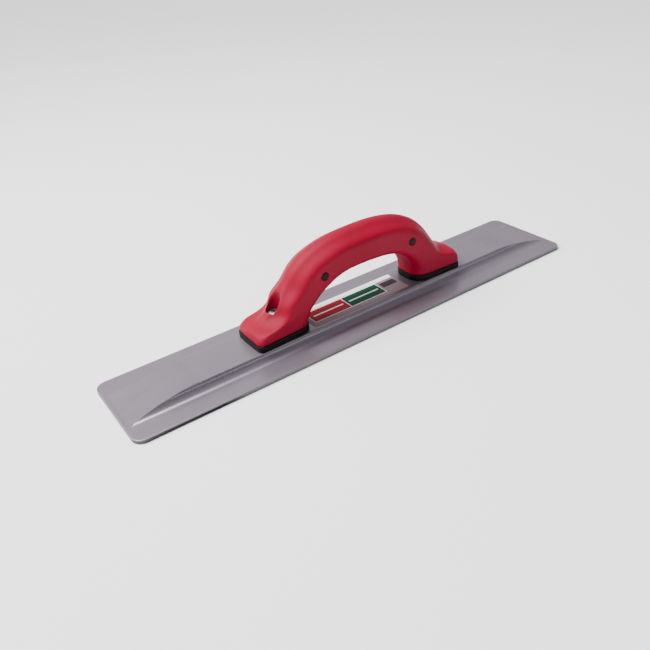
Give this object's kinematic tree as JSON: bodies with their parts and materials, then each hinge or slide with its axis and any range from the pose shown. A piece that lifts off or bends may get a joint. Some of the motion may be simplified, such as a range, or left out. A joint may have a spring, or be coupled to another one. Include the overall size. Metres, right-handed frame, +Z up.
{
  "type": "concrete hand float",
  "caption": "Long flat light-alloy hand float with a raised, ramped spine and a bridge handle: soft red grip over a black core, screwed down through deep wells",
  "frame": {"origin": "the middle of the blade's flat working face (its underside), on the surface it works", "axes": "+X runs along the blade towards its rear end, +Z is up out of the blade through the handle, and +Y completes a right-handed frame across the blade"},
  "size_m": [0.4064, 0.0794, 0.0748],
  "materials": {
    "light_alloy": "extruded light alloy, satin, fine lengthwise lines",
    "label_film": "thin printed film with plain colour bands",
    "rigid_black": "moulded rigid plastic, slight sheen",
    "soft_red": "soft moulded elastomer, satin",
    "plated_steel": "bright zinc-plated steel",
    "spring_steel": "plated spring steel"
  },
  "bodies": {
    "root": {"blade": "light_alloy", "label": "label_film", "handle_core": "rigid_black", "grip_skin": "soft_red", "front_flat_washer": "plated_steel", "front_lock_washer": "spring_steel", "front_screw": "plated_steel", "rear_flat_washer": "plated_steel", "rear_lock_washer": "spring_steel", "rear_screw": "plated_steel"}
  },
  "joints": []
}
